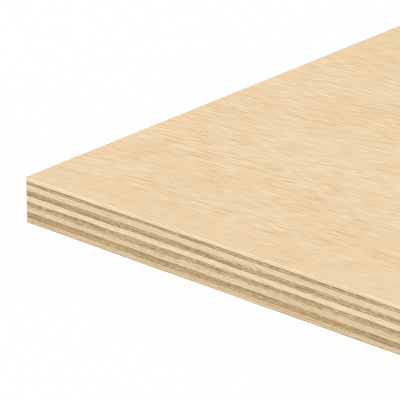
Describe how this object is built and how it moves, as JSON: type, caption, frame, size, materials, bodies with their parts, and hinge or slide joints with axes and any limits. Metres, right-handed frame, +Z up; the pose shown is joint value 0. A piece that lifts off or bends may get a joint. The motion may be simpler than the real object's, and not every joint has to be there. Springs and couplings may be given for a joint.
{
  "type": "plywood sheet",
  "caption": "Flat rectangular sheet of birch plywood: crosswise glued veneers, sanded faces, square trimmed edges that show the plies; stock for floors, panels, boxes and furniture.",
  "frame": {"origin": "middle of the back face, which is the face that the sheet lies on", "axes": "+X along the long side, which is the grain of the face veneer; +Y across the sheet; +Z up through the plies to the face veneer"},
  "size_m": [2.44, 1.22, 0.012],
  "materials": {
    "face_birch": "matte",
    "back_birch": "matte",
    "long_grain_birch": "matte",
    "cross_grain_birch": "matte"
  },
  "bodies": {
    "root": {"back_veneer": "back_birch", "cross_ply_lower": "cross_grain_birch", "long_ply_lower": "long_grain_birch", "cross_ply_below_centre": "cross_grain_birch", "centre_ply": "long_grain_birch", "cross_ply_above_centre": "cross_grain_birch", "long_ply_upper": "long_grain_birch", "cross_ply_upper": "cross_grain_birch", "face_veneer": "face_birch"}
  },
  "joints": []
}
